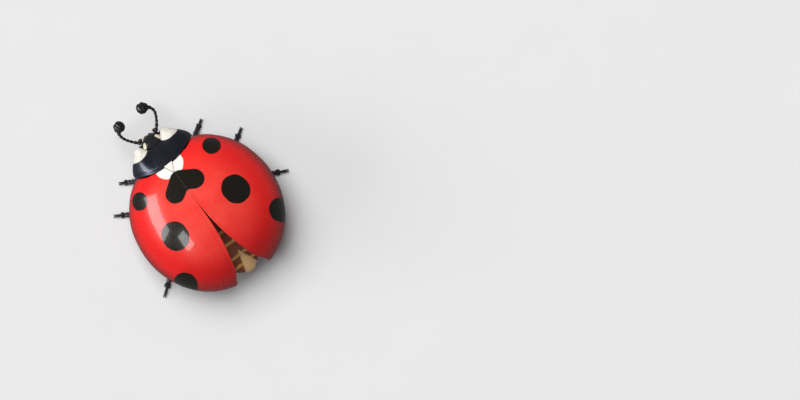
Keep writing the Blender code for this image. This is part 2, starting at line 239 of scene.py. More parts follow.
def mirroredPoints(points, side):
    return [Vector((x * side, y, z)) for x, y, z in points]


# A material. Its methods add nodes, fed with sockets or plain values; a colour is three numbers.
class Paint:
    def __init__(self, name, coat, coatRough, specular, **values):
        self.material = bpy.data.materials.new(name)
        self.material.use_nodes = True
        self.tree = self.material.node_tree
        self.shader = self.tree.nodes["Principled BSDF"]
        values.update(Coat_Weight=coat, Coat_Roughness=coatRough, Specular_IOR_Level=specular)
        for socket, value in values.items():
            self.set(self.shader.inputs[socket.replace("_", " ")], value)
        coords = self.tree.nodes.new("ShaderNodeTexCoord")
        place = self.tree.nodes.new("ShaderNodeMapping")
        place.inputs["Location"].default_value = -bodyZero * 1000
        place.inputs["Scale"].default_value = (1000, 1000, 1000)
        self.tree.links.new(coords.outputs["Object"], place.inputs["Vector"])
        self.coords = place.outputs["Vector"]

    def set(self, socket, value):
        if isinstance(value, bpy.types.NodeSocket):
            self.tree.links.new(value, socket)
        else:
            socket.default_value = (*value, 1) if socket.type == "RGBA" else value

    def math(self, operation, a, b=0.0, clamp=False):
        node = self.tree.nodes.new("ShaderNodeMath")
        node.operation = operation
        node.use_clamp = clamp
        for socket, value in zip(node.inputs, (a, b)):
            self.set(socket, value)
        return node.outputs[0]

    def times(self, a, b):
        return self.math("MULTIPLY", a, b)

    def vector(self, operation, a, b=(0, 0, 0), scale=1.0):
        node = self.tree.nodes.new("ShaderNodeVectorMath")
        node.operation = operation
        self.set(node.inputs[0], a)
        self.set(node.inputs[1], b)
        if operation == "SCALE":
            self.set(node.inputs["Scale"], scale)
        return node.outputs["Value" if operation in ("DOT_PRODUCT", "LENGTH") else "Vector"]

    def split(self, vector):
        node = self.tree.nodes.new("ShaderNodeSeparateXYZ")
        self.set(node.inputs[0], vector)
        return node.outputs

    def join(self, x, y, z):
        node = self.tree.nodes.new("ShaderNodeCombineXYZ")
        for socket, value in zip(node.inputs, (x, y, z)):
            self.set(socket, value)
        return node.outputs[0]

    def ramp(self, value, low, high, start=0.0, end=1.0):
        node = self.tree.nodes.new("ShaderNodeMapRange")
        node.interpolation_type = "SMOOTHSTEP"
        for socket, number in zip(node.inputs[:5], (value, low, high, start, end)):
            self.set(socket, number)
        return node.outputs[0]

    def noise(self, scale, detail=3.0, colour=False):
        node = self.tree.nodes.new("ShaderNodeTexNoise")
        self.set(node.inputs["Vector"], self.coords)
        node.inputs["Scale"].default_value = scale
        node.inputs["Detail"].default_value = detail
        return node.outputs["Color" if colour else 0]

    def cells(self, scale, feature="F1", vector=None, randomness=1.0):
        node = self.tree.nodes.new("ShaderNodeTexVoronoi")
        node.feature = feature
        self.set(node.inputs["Vector"], vector or self.coords)
        node.inputs["Scale"].default_value = scale
        node.inputs["Randomness"].default_value = randomness
        return node.outputs["Distance"]

    def pits(self, scale, low=0.05, high=0.45):
        # 0 in the middle of each small dent, 1 between them
        return self.ramp(self.cells(scale), low, high)

    def blend(self, share, first, second):
        node = self.tree.nodes.new("ShaderNodeMix")
        node.data_type = "RGBA"
        self.set(node.inputs["Factor"], share)
        colours = [socket for socket in node.inputs if socket.type == "RGBA"]
        self.set(colours[0], first)
        self.set(colours[1], second)
        return [socket for socket in node.outputs if socket.type == "RGBA"][0]

    def bump(self, height, distance, strength, base=None):
        # distance in millimetres
        node = self.tree.nodes.new("ShaderNodeBump")
        node.inputs["Strength"].default_value = strength
        node.inputs["Distance"].default_value = distance * mm
        self.set(node.inputs["Height"], height)
        if base:
            self.set(node.inputs["Normal"], base)
        return node.outputs["Normal"]

    def mirroredCoords(self, wobble, wobbleScale):
        # the same on both sides of the middle line, with slightly uneven edges
        x, y, z = self.split(self.coords)
        folded = self.join(self.math("ABSOLUTE", x), y, z)
        shift = self.vector("SUBTRACT", self.noise(wobbleScale, colour=True), (0.5, 0.5, 0.5))
        return self.vector("ADD", folded, self.vector("SCALE", shift, scale=wobble * 2))

    def spot(self, vector, start, end, radius, edge):
        # 1 inside a round-ended mark from start to end, 0 outside it
        line = Vector(end) - Vector(start)
        offset = self.vector("SUBTRACT", vector, tuple(start))
        if line.length > 1e-6:
            flat = line / line.length_squared
            along = self.math("ADD", self.vector("DOT_PRODUCT", offset, tuple(flat)), 0.0, clamp=True)
            offset = self.vector("SUBTRACT", offset, self.vector("SCALE", tuple(line), scale=along))
        return self.ramp(self.vector("LENGTH", offset), radius - edge, radius + edge, 1.0, 0.0)

    def done(self, colour, rough=None, normal=None, coatNormal=None):
        # rough is a pattern and the two values that the roughness runs between
        if rough:
            pattern, low, high = rough
            self.set(self.shader.inputs["Roughness"], self.ramp(pattern, 0.3, 0.7, low, high))
        for socket, value in (("Base Color", colour), ("Normal", normal), ("Coat Normal", coatNormal)):
            if value is not None:
                self.set(self.shader.inputs[socket], value)
        return self.material


black = (0.0060, 0.0055, 0.0065)
spotMarks = dict(
    shoulder=((2.00, -1.47), (2.00, -1.47), 0.41),
    middle=((1.67, 0.64), (1.69, 0.76), 0.60),
    rear=((2.62, 2.58), (2.72, 2.72), 0.53),
    shieldPair=((0.0, -1.11), (0.53, -0.76), 0.44),
    shieldMiddle=((0.0, -1.02), (0.0, -1.02), 0.48),
)
spotFlattening = 0.4  # keeps the spots round when seen from above


def wingCasePaint():
    paint = Paint("wingCaseRed", coat=0.6, coatRough=0.045, specular=0.4, Coat_IOR=1.42, IOR=1.38)
    coords = paint.mirroredCoords(0.035, 2.6)
    y, height = paint.split(paint.coords)[1:]
    cloud = paint.noise(1.3, 4.0)
    mottle = paint.noise(9.0)
    pits = paint.pits(14.0, 0.04, 0.22)
    bright = (0.87, 0.009, 0.008)
    paintedLightOrange = (1.0, 0.072, 0.052)
    # deep is the red of the painted shade and also of the random mottle
    deep = (0.42, 0.005, 0.005)
    paintedShadeMaroon = (0.15, 0.004, 0.005)
    # painted shade: the red deepens from the crown down towards the rim
    colour = paint.blend(paint.ramp(height, 1.2, 2.7), deep, bright)
    # painted shade: darker towards the rim and the tail; painted light: lighter orange on the crown
    rim = paint.times(paint.ramp(height, 1.15, 2.60, 0.95, 0.0), paint.ramp(y, -1.8, 2.2, 0.45, 1.0))
    colour = paint.blend(rim, colour, paintedShadeMaroon)
    colour = paint.blend(paint.ramp(y, 1.4, 3.6, 0.0, 0.6), colour, deep)
    crown = paint.times(paint.ramp(height, 2.7, 3.9), paint.ramp(cloud, 0.3, 0.7, 0.65, 1.0))
    colour = paint.blend(crown, colour, paintedLightOrange)
    colour = paint.blend(paint.ramp(mottle, 0.45, 0.75, 0.0, 0.15), colour, deep)
    # painted shade: the middle of each small dent is darkened
    colour = paint.blend(paint.times(paint.math("SUBTRACT", 1.0, pits), 0.25), colour, deep)
    plan = paint.vector("MULTIPLY", coords, (1, 1, 0))
    cream = paint.spot(plan, (0, -1.93, 0), (0.12, -1.93, 0), 0.55, 0.025)
    colour = paint.blend(cream, colour, (0.90, 0.85, 0.81))
    flat = paint.vector("MULTIPLY", coords, (1, 1, spotFlattening))
    dark = 0.0
    for start, end, radius in spotMarks.values():
        low = Vector((1, 1, spotFlattening))
        mark = paint.spot(flat, onShell(*start) * low, onShell(*end) * low, radius, 0.018)
        dark = paint.math("MAXIMUM", dark, mark)
    spotBlack = paint.blend(mottle, (0.0065, 0.0055, 0.003), (0.013, 0.010, 0.006))
    colour = paint.blend(dark, colour, spotBlack)
    dents = paint.bump(pits, 0.004, 0.20)
    waves = paint.bump(paint.noise(1.6, 1.0), 0.03, 0.16, dents)
    soft = paint.bump(paint.noise(1.6, 1.0), 0.03, 0.12, paint.bump(pits, 0.003, 0.25))
    return paint.done(colour, (mottle, 0.24, 0.36), waves, soft)


def caseInsidePaint():
    # the folded-under rim and the hollow side of the wing cases
    paint = Paint("wingCaseInside", coat=0.3, coatRough=0.2, specular=0.3)
    mottle = paint.noise(6.0, 4.0)
    colour = paint.blend(mottle, (0.50, 0.030, 0.014), (0.66, 0.062, 0.022))
    normal = paint.bump(paint.noise(4.0), 0.02, 0.35, paint.bump(paint.pits(13.0), 0.004, 0.4))
    return paint.done(colour, (mottle, 0.34, 0.50), normal)


wingCase = dict(
    wall=0.15, ledge=0.42, ledgeStart=0.90,  # thin, but with a thick folded-under rim
    frontCrest=-48.3, frontRim=-61.6, end=88.6,  # where the case begins and ends on the dome, in degrees
    along=120, across=84, frontLength=5.5, rearLength=4.0, rounding=0.10,
    apexBevel=0.19, apexStart=3.50, apexLength=0.50, apexWidth=0.6,
    notch=0.22, notchEnd=-1.50, notchLength=0.45,
    groove=0.035, rimGroove=(0.26, 0.11), seamGroove=(0.14, 0.06),  # place and width
    shoulderBump=0.05, shoulder=(1.85, -1.75), shoulderWidth=0.42,
)


def wingCasePoint(a, b, under):
    w = wingCase
    a, b = eased(a, 0.55), eased(b, 0.75)
    front = mix(w["frontCrest"], w["frontRim"], smooth(1.2 * b))
    sweep = math.radians(mix(front, w["end"], a))
    span = b * math.pi / 2
    bare = domePoint(sweep, span, 0)
    girth = max(math.cos(sweep), 0.02) * dome["halfWidth"] * math.pi / 2
    toEdge = min(b * girth, (1 - b) * girth, a * w["frontLength"], (1 - a) * w["rearLength"] + 0.02)
    near = min(max(toEdge / w["rounding"], 0), 1)
    bulge = math.sqrt(1 - (1 - near) ** 2)
    wall = mix(w["wall"], w["ledge"], smooth((b - w["ledgeStart"]) / 0.08))
    drop = 0.25 * (mix(0.05, 1, smooth((bare.y + 0.1) / 0.9)) if b < 0.3 else 1)
    inset = wall * (drop + (1 - drop) * bulge) if under else wall * drop * (1 - bulge)
    (rimPlace, rimWidth), (seamPlace, seamWidth) = w["rimGroove"], w["seamGroove"]
    groove = w["groove"] * bell((1 - b) * girth - rimPlace, rimWidth)
    groove += 0.5 * w["groove"] * bell(b * girth - seamPlace, seamWidth) * smooth((bare.y + 1.2) / 0.5)
    swell = w["shoulderBump"] * bell(math.dist(bare.xy, w["shoulder"]), w["shoulderWidth"])
    point = domePoint(sweep, span, inset + groove - swell)
    notch = w["notch"] * min(max((w["notchEnd"] - point.y) / w["notchLength"], 0), 1) * (1 - b) ** 4
    bevel = w["apexBevel"] * smooth((point.y - w["apexStart"]) / w["apexLength"])
    bevel *= 1 - smooth(point.x / w["apexWidth"])
    point.x += edgeOffset(point.y, b) + notch + bevel
    return point


def wingCases():
    material = (wingCasePaint(), caseInsidePaint())
    for side, name in sides:
        def place(a, b, under):
            point = wingCasePoint(a, b, under)
            return bodyPoint(point.x * side, point.y, point.z)

        shape = plate(wingCase["along"], wingCase["across"], place)
        makePiece("wingCase_" + name, shape, material, ["elytron_" + name])
    print("wing cases done")


def shieldPaint():
    paint = Paint("shieldBlack", coat=0.35, coatRough=0.10, specular=0.75,
                  Specular_Tint=(0.66, 0.72, 1.0))
    coords = paint.vector("MULTIPLY", paint.mirroredCoords(0.03, 3.0), (1, 1, 0.5))
    mottle = paint.noise(6.0, 4.0)
    patch = paint.spot(coords, (0.76, -3.19, 0.92), (0.86, -3.11, 0.80), 0.42, 0.022)
    dark = paint.blend(mottle, (0.003, 0.003, 0.004), (0.010, 0.010, 0.016))
    pale = paint.blend(paint.ramp(mottle, 0.3, 0.8), (0.86, 0.81, 0.73), (0.72, 0.67, 0.57))
    colour = paint.blend(patch, dark, pale)
    dents = paint.bump(paint.pits(13.0, 0.04, 0.24), 0.005, 0.5)
    normal = paint.bump(paint.noise(1.8, 1.0), 0.03, 0.15, dents)
    return paint.done(colour, (mottle, 0.32, 0.40), normal)


shield = dict(
    frontHalf=1.02, rearHalf=1.60, frontY=-2.99, rearY=-1.95, rearSweep=0.40,
    cornerReach=0.41, cornerRound=0.20,
    rim=(1.50, 1.30), arch=(0.55, 1.72), wall=0.14,  # rim and arch: height in front and at the rear
    along=56, across=110, girth=4.4, rounding=0.09, bead=0.022,
)


def shieldPoint(a, across, inset):
    s = shield
    share = abs(math.sin(across))
    half = mix(s["frontHalf"], s["rearHalf"], math.sin(a * math.pi / 2)) - inset
    corner = s["cornerReach"] * smooth((share - 0.30) / 0.40)
    rounding = s["cornerRound"] * max((share - 0.80) / 0.20, 0) ** 2
    front = s["frontY"] - corner + rounding
    rear = s["rearY"] - s["rearSweep"] * share ** 2
    arch = mix(*s["arch"], a ** 0.65) - inset
    return Vector((half * math.sin(across), mix(front, rear, a), mix(*s["rim"], a) + arch * math.cos(across)))


def shieldPiece():
    s = shield

    def place(a, b, under):
        a, b = eased(a, 0.75), eased(b, 0.6)
        toSide = min(b, 1 - b) * s["girth"]
        near = min(max(min(a, 1 - a, toSide) / s["rounding"], 0), 1)
        bulge = math.sqrt(1 - (1 - near) ** 2)
        inset = s["wall"] * (0.5 + 0.5 * bulge) if under else s["wall"] * 0.35 * (1 - bulge)
        inset += s["bead"] * (bell(toSide - 0.20, 0.07) + bell(a - 0.13, 0.05) + bell(1 - a - 0.12, 0.05))
        point = shieldPoint(max(a, 1e-4), mix(-math.pi / 2, math.pi / 2, b), inset)
        return bodyPoint(*point)

    makePiece("pronotumShield", plate(s["along"], s["across"], place), shieldPaint(), ["pronotum"])
    print("pronotum done")


def cuticlePaint(name, tint, pitScale=16.0, shine=0.30):
    paint = Paint(name, coat=0.35, coatRough=0.15, specular=0.5)
    mottle = paint.noise(12.0, 4.0)
    colour = paint.blend(mottle, tint, [c * 2.2 for c in tint])
    normal = paint.bump(paint.noise(7.0), 0.02, 0.4, paint.bump(paint.pits(pitScale), 0.004, 0.5))
    return paint.done(colour, (mottle, shine - 0.06, shine + 0.10), normal)


def scutellumPaint():
    # pale, as the disc it lies in, with a dark tip where the black mark begins
    paint = Paint("scutellumPale", coat=0.4, coatRough=0.1, specular=0.4)
    mottle = paint.noise(9.0, 4.0)
    y = paint.split(paint.coords)[1]
    wobble = paint.math("ADD", y, paint.times(paint.math("SUBTRACT", mottle, 0.5), 0.04))
    pale = paint.blend(mottle, (0.90, 0.85, 0.80), (0.82, 0.77, 0.70))
    colour = paint.blend(paint.ramp(wobble, -1.60, -1.56), pale, black)
    normal = paint.bump(paint.pits(14.0, high=0.40), 0.004, 0.35)
    return paint.done(colour, (mottle, 0.28, 0.40), normal)


scutellum = dict(front=-2.00, rear=-1.53, half=0.215, thickness=0.16, sunk=0.035, crown=0.03)


def scutellumPiece():
    s = scutellum

    def place(a, b, under):
        y = mix(s["front"], s["rear"], a)
        half = max(s["half"] * (1 - a ** 1.1), 0.004)
        edge = math.sqrt(max(1 - (2 * b - 1) ** 2, 0))
        top = onShell(0, y).z - s["sunk"] + s["crown"] * edge * math.sin(math.pi * min(a + 0.15, 1))
        return bodyPoint(mix(-half, half, b), y, top - (s["thickness"] if under else 0))

    makePiece("scutellumPlate", plate(24, 20, place), scutellumPaint(), ["scutellum"])


head = dict(centre=(0, -3.04, 1.30), radii=(0.66, 0.52, 0.50), eyeAside=0.46, socket=0.10, brow=0.05)


def headPoint(direction):
    # a ladybird's head: broad at the eyes, flat in front, with a narrower lip shield low down
    x, y, z = direction
    cx, cy, cz = head["centre"]
    rx, ry, rz = head["radii"]
    front = max(-y, 0)
    taper = 1 - 0.20 * smooth((front - 0.35) / 0.6) * (1 - abs(z) * 0.5)
    reach = 1 - 0.06 * smooth((z - 0.2) / 0.6) * front + 0.05 * bell(z + 0.45, 0.3) * front
    size = 1.0
    for aside in (head["eyeAside"], -head["eyeAside"]):
        size -= head["socket"] * bell(math.hypot(x - aside, z - 0.05), 0.17) * smooth((front - 0.5) / 0.3)
        size += head["brow"] * bell(math.hypot(x - aside, z - 0.33), 0.16) * smooth((front - 0.4) / 0.3)
    return Vector((cx + rx * x * taper * size, cy + ry * y * reach * size, cz + rz * z * size))


def headPaint():
    paint = Paint("headBlack", coat=0.45, coatRough=0.12, specular=0.5)
    coords = paint.mirroredCoords(0.02, 5.0)
    mottle = paint.noise(10.0, 4.0)
    pale = paint.spot(coords, (0.42, -3.20, 1.70), (0.34, -3.34, 1.62), 0.085, 0.02)
    colour = paint.blend(mottle, black, (0.016, 0.015, 0.018))
    colour = paint.blend(pale, colour, (0.74, 0.66, 0.50))
    dents = paint.bump(paint.pits(17.0, 0.06, 0.42), 0.005, 0.6)
    normal = paint.bump(paint.noise(6.0), 0.02, 0.35, dents)
    return paint.done(colour, (mottle, 0.24, 0.38), normal)


def eyePaint():
    paint = Paint("eyeBlack", Roughness=0.16, coat=0.8, coatRough=0.05, specular=0.6)
    lenses = paint.cells(34.0, "F1", randomness=0.25)
    colour = paint.blend(paint.ramp(lenses, 0.25, 0.6), (0.020, 0.011, 0.009), (0.004, 0.003, 0.003))
    return paint.done(colour, None, paint.bump(paint.ramp(lenses, 0.0, 0.6, 1.0, 0.0), 0.002, 0.4))


eye = dict(centre=(0.53, -3.20, 1.42), radii=(0.19, 0.205, 0.20), turn=0.3, lensHeight=1.022)


def headPieces():
    shape = ball(96, 64)
    for vert in shape.verts:
        x, y, z = vert.co
        vert.co = bodyPoint(*headPoint(Vector((x, z, y))))
    makePiece("headCapsule", shape, headPaint(), ["head"])
    eyes = eyePaint()
    for side, name in sides:
        shape = bmesh.new()
        bmesh.ops.create_icosphere(shape, subdivisions=5, radius=1)
        bmesh.ops.subdivide_edges(shape, edges=shape.edges[:], cuts=1, use_grid_fill=True)
        lenses = [vert for vert in shape.verts if vert.co.length > 0.9999]
        # each corner of the first ball becomes a domed lens
        bmesh.ops.scale(shape, vec=(eye["lensHeight"],) * 3, verts=lenses)
        centre = mirroredPoints([eye["centre"]], side)[0]
        stretched(shape, centre, eye["radii"], turned(eye["turn"] * side))
        makePiece("compoundEye_" + name, shape, eyes, ["eye_" + name])
    print("head and eyes done")


mouth = dict(
    lip=((0, -3.50, 1.06), (0.28, 0.10, 0.13)),
    jaw=((0.20, -3.42, 0.98), (0.12, -3.56, 0.93), (0.02, -3.60, 0.92)),
    palpRoot=((0.26, -3.26, 0.96), (0.33, -3.40, 0.87), (0.38, -3.50, 0.84)),
    palpBlade=((0.38, -3.49, 0.84), (0.42, -3.68, 0.83)),
    faceHairs=90, lipHairs=26, hairRadius=0.005,
)


def mouthPieces(lipPaint, brownPaint, hairPaint):
    lip = stretched(ball(40, 24), *mouth["lip"], turned(0))
    makePiece("upperLip", lip, lipPaint, ["labrum"])
    for side, name in sides:
        jawPath = pathThrough(mirroredPoints(mouth["jaw"], side), 8)
        jaw = limb(jawPath, [(0, 0.10), (0.6, 0.075), (1, 0.02)], 24, 16, tall=0.7)
        makePiece("mandible_" + name, jaw, brownPaint, ())
        palp = bmesh.new()
        root = pathThrough(mirroredPoints(mouth["palpRoot"], side), 6)
        for low, high, radius in ((0.0, 0.48, 0.075), (0.46, 1.0, 0.085)):
            ends = [alongPath(root, mix(low, high, t))[0] for t in (0, 0.5, 1)]
            addInto(palp, limb(ends, [(0, radius * 0.7), (0.7, radius), (1, radius * 0.85)], 14, 16))
        blade = mirroredPoints(mouth["palpBlade"], side)
        blade.insert(1, blade[0].lerp(blade[1], 0.5))
        addInto(palp, limb(blade, [(0, 0.06), (0.85, 0.17), (1, 0.16)], 22, 20, tall=0.5))
        makePiece("palpJointed_" + name, palp, brownPaint, ["palp_" + name])
    # short hairs on the face, lip and cheeks
    chance = random.Random(7)
    roots = []
    eyeX, _, eyeZ = eye["centre"]
    while len(roots) < mouth["faceHairs"]:
        way = Vector((chance.uniform(-0.8, 0.8), -1, chance.uniform(-0.9, 0.55))).normalized()
        spot = headPoint(way)
        if math.hypot(abs(spot.x) - eyeX, spot.z - eyeZ) > 0.22:
            lean = (way + Vector((0, -0.3, -0.9))).normalized()
            unwrapped = (0.5 + 0.4 * way.x, 0.5 + 0.4 * way.z)
            roots.append((spot, lean, chance.uniform(0.05, 0.09), unwrapped))
    for _ in range(mouth["lipHairs"]):
        turn = chance.uniform(0.15, 2.99)
        spot = Vector((0.26 * math.cos(turn), -3.50 - 0.085 * math.sin(turn), 1.03))
        lean = Vector((0.3 * math.cos(turn), -0.8, -0.7)).normalized()
        roots.append((spot, lean, chance.uniform(0.07, 0.11), (0.1 + 0.8 * turn / math.pi, 0.04)))
    makePiece("faceHairs", hairShape(roots, mouth["hairRadius"]), hairPaint, ())
    print("mouthparts done")


feeler = dict(
    path=((0.30, -3.36, 1.34), (0.50, -3.56, 1.36), (0.71, -3.80, 1.42), (0.87, -4.06, 1.51),
          (0.93, -4.29, 1.59)),
    ends=dict(left=((0.88, -4.46, 1.65), (0.76, -4.60, 1.70), (0.60, -4.66, 1.73)),
              right=((0.83, -4.52, 1.66), (0.62, -4.65, 1.70), (0.44, -4.67, 1.73))),
    joints=(0.00, 0.10, 0.175, 0.29, 0.39, 0.49, 0.59, 0.69, 0.80),
    radii=(0.115, 0.094, 0.078, 0.070, 0.068, 0.070, 0.076, 0.088),
    club=((0.845, 0.195, 0.135), (0.905, 0.262, 0.175), (0.960, 0.248, 0.190)),  # place, radius, half length
)


def feelerPieces(material):
    for side, name in sides:
        path = pathThrough(mirroredPoints(feeler["path"] + feeler["ends"][name], side), 10)
        stalk, club = bmesh.new(), bmesh.new()
        for low, high, radius in zip(feeler["joints"], feeler["joints"][1:], feeler["radii"]):
            ends = [alongPath(path, mix(low - 0.008, high + 0.008, t))[0] for t in (0, 0.33, 0.66, 1)]
            addInto(stalk, limb(ends, [(0, radius * 0.80), (0.7, radius), (1, radius * 0.9)], 16, 20))
        for share, radius, halfLength in feeler["club"]:
            # round beads threaded on the feeler
            centre, way = alongPath(path, share)
            turn = way.to_track_quat("Z", "Y").to_matrix().to_4x4()
            addInto(club, stretched(ball(40, 28), centre, (radius, radius, halfLength), turn))
        makePiece("feelerStalk_" + name, stalk, material, ["antenna_" + name])
        makePiece("feelerClub_" + name, club, material, ["antenna_club_" + name])
    print("feelers done")


legPlans = dict(
    front=((0.50, -2.22), (0.95, -2.12), (1.38, -2.12), (1.80, -2.42), (2.30, -2.71)),
    mid=((0.75, -1.05), (1.40, -0.92), (2.05, -0.90), (2.72, -1.32), (3.36, -1.72)),
    hind=((0.70, 0.40), (1.35, 0.68), (2.05, 1.08), (2.98, 1.84), (3.80, 2.46)),
    midRight=((0.75, -1.05), (1.40, -0.86), (2.08, -0.72), (2.80, -0.95), (3.46, -1.33)),
    hindRight=((0.70, 0.40), (1.40, 0.50), (2.15, 0.66), (3.12, 1.00), (3.93, 1.42)),
)
legShape = dict(
    heights=(0.80, 0.76, 0.74, 0.20, 0.10),
    femur=[(0, 0.09), (0.25, 0.15), (0.65, 0.15), (0.92, 0.10), (1, 0.09)],
    tibia=[(0, 0.070), (0.12, 0.085), (0.6, 0.095), (0.93, 0.115), (1, 0.10)],
    sole=[(0, 0.075), (0.5, 0.085), (1, 0.075)],
    shinHairs=70, thighHairs=35, soleHairs=70, hairRadius=0.006,
)


def footShape(ankle, toe):
    # the tarsus: a stout first joint, a broad two-lobed pad, a thin last joint and two hooked claws
    shape = bmesh.new()
    way = toe - ankle
    across = Vector((-way.y, way.x, 0)).normalized()

    def at(share, z, aside=0.0):
        return Vector((ankle.x + way.x * share, ankle.y + way.y * share, z)) + across * aside

    first = [at(-0.12, 0.20), at(0.12, 0.13), at(0.38, 0.095)]
    addInto(shape, limb(first, [(0, 0.080), (0.8, 0.112), (1, 0.10)], 20, 18, tall=0.85))
    for turn in (1, -1):
        lobe = [at(0.30, 0.10, 0.010 * turn), at(0.44, 0.085, 0.040 * turn), at(0.62, 0.075, 0.062 * turn)]
        addInto(shape, limb(lobe, [(0, 0.05), (0.7, 0.092), (1, 0.082)], 18, 16, tall=0.78))
    last = [at(0.46, 0.14), at(0.66, 0.135), at(0.93, 0.10)]
    addInto(shape, limb(last, [(0, 0.046), (0.85, 0.066), (1, 0.058)], 18, 16))
    for turn in (1, -1):
        claw = [at(0.88, 0.10, 0.018 * turn), at(0.97, 0.10, 0.042 * turn), at(1.03, 0.05, 0.050 * turn),
                at(1.02, 0.012, 0.046 * turn)]
        addInto(shape, limb(pathThrough(claw, 4), [(0, 0.032), (0.5, 0.024), (1, 0.006)], 14, 10))
    return shape


def hairShape(roots, size):
    # short tapering bristles in body millimetres; each root is a place, a direction, a length and
    # its place on the unwrapped skin, where the whole bristle gets one small patch of the bake map
    shape = bmesh.new()
    bakeMap = shape.loops.layers.uv.new("OFBake")
    for spot, way, length, unwrapped in roots:
        turn = way.to_track_quat("Z", "Y").to_matrix().to_4x4()
        matrix = Matrix.Translation(bodyPoint(*(spot + way * length * 0.5))) @ turn
        cone = bmesh.ops.create_cone(shape, cap_ends=True, cap_tris=True, segments=5, radius1=size * mm,
                                     radius2=size * mm * 0.15, depth=length * mm, matrix=matrix)
        back = matrix.inverted()
        for vert in cone["verts"]:
            near = back @ vert.co
            patch = Vector((near.x / size / mm, near.z / length / mm * 2)) * 0.0015
            for loop in vert.link_loops:
                loop[bakeMap].uv = Vector(unwrapped) + patch
    return shape


def legHairs(path, profile, count, chance, column, lean=0.6, lengths=(0.06, 0.11)):
    # column is the part of the bake map that this stretch of the leg is unwrapped onto
    roots = []
    for _ in range(count):
        share = chance.uniform(0.08, 0.98)
        centre, way = alongPath(path, share)
        side = way.cross(Vector((0, 0, 1))).normalized()
        up = side.cross(way)
        angle = chance.uniform(0, 2 * math.pi)
        out = side * math.cos(angle) + up * math.sin(angle)
        unwrapped = ((column + 0.05 + 0.9 * angle / (2 * math.pi)) / 3, 0.05 + 0.9 * share)
        roots.append((centre + out * profileAt(profile, share) * 0.9, (out + way * lean).normalized(),
                      chance.uniform(*lengths), unwrapped))
    return roots


def legPieces(shellPaint, footPaint, hairPaint):
    seed = 0
    for leg in ("front", "mid", "hind"):
        for side, name in sides:
            seed += 1
            plan = legPlans.get(leg + "Right", legPlans[leg]) if side < 0 else legPlans[leg]
            places = [(x, y, z) for (x, y), z in zip(plan, legShape["heights"])]
            hip, thigh, knee, ankle, toe = mirroredPoints(places, side)
            label = leg + "_" + name
            femurPath = pathThrough([hip, thigh, knee], 10)
            femur = limb(femurPath, legShape["femur"], 34, 24, tall=0.85)
            makePiece("thigh_" + label, femur, shellPaint, ["femur_" + label])
            bend = knee.lerp(ankle, 0.5) + Vector((0, 0, 0.05))
            start = knee + (knee - thigh).normalized() * -0.06
            tibiaPath = pathThrough([start, bend, ankle], 10)
            tibia = limb(tibiaPath, legShape["tibia"], 34, 22)
            makePiece("shin_" + label, tibia, shellPaint, ["tibia_" + label])
            makePiece("foot_" + label, footShape(ankle, toe), footPaint, ["tarsus_" + label])
            chance = random.Random(seed)
            short = (0.04, 0.07)
            roots = legHairs(tibiaPath, legShape["tibia"], legShape["shinHairs"], chance, 0)
            roots += legHairs(femurPath, legShape["femur"], legShape["thighHairs"], chance, 1, 0.9, short)
            sole = [ankle.lerp(toe, share) for share in (0.02, 0.3, 0.6)]
            for spot, height in zip(sole, (0.14, 0.095, 0.080)):
                spot.z = height
            roots += legHairs(sole, legShape["sole"], legShape["soleHairs"], chance, 2, 0.7, short)
            roots = [root for root in roots if (root[0] + root[1] * root[2]).z > 0.004]
            makePiece("bristles_" + label, hairShape(roots, legShape["hairRadius"]), hairPaint, ())
    print("legs done")


core = dict(halfWidth=2.70, top=1.70, belly=0.30, front=2.45, rear=3.05, flank=0.09,
            thoraxFront=-1.93, waist=0.80, tailCut=3.15, tailLength=0.74, tailTaper=0.56)


def coreSize(y):
    c = core
    if y <= c["tailCut"]:
        reach = c["front"] if y < dome["centreY"] else c["rear"]
        return math.sqrt(max(1 - ((y - dome["centreY"]) / reach) ** 2, 0))
    root = math.sqrt(1 - ((c["tailCut"] - dome["centreY"]) / c["rear"]) ** 2)
    return root * max(1 - (y - c["tailCut"]) / c["tailLength"], 0) ** c["tailTaper"]


def corePoint(y, angle, swell=0.0):
    size = coreSize(y)
    rise = math.sin(angle)
    depth = core["top"] if rise > 0 else core["belly"]
    flank = core["flank"] * min(size * 2, 1)
    return Vector(((core["halfWidth"] * size + swell + flank) * math.cos(angle), y,
                   rimHeight(y) + (depth * size + swell) * rise))


abdomen = dict(
    backBands=(1.81, 2.39, 3.04, 3.46), backStep=0.045,
    bellyBands=(1.18, 1.78, 2.30, 2.78, 3.22), bellyStep=0.070,
    bend=-0.28,  # how far the plates' edges sweep forward at the flanks
    sunk=-0.03, overlap=0.12, bandHalf=(0.045, 0.085),
    hairs=900, hairRadius=0.005,
)


def segmentStep(y, bands, step):
    # each plate stands a little proud where it overlaps the next
    for low, high in zip((-9,) + bands, bands + (9,)):
        if low <= y < high:
            start = max(low, bands[0] - 0.8)
            share = (y - start) / (min(high, 3.95) - start)
            return step * smooth(min(share, 1)) * (1 - smooth((share - 0.93) / 0.07))
    return 0


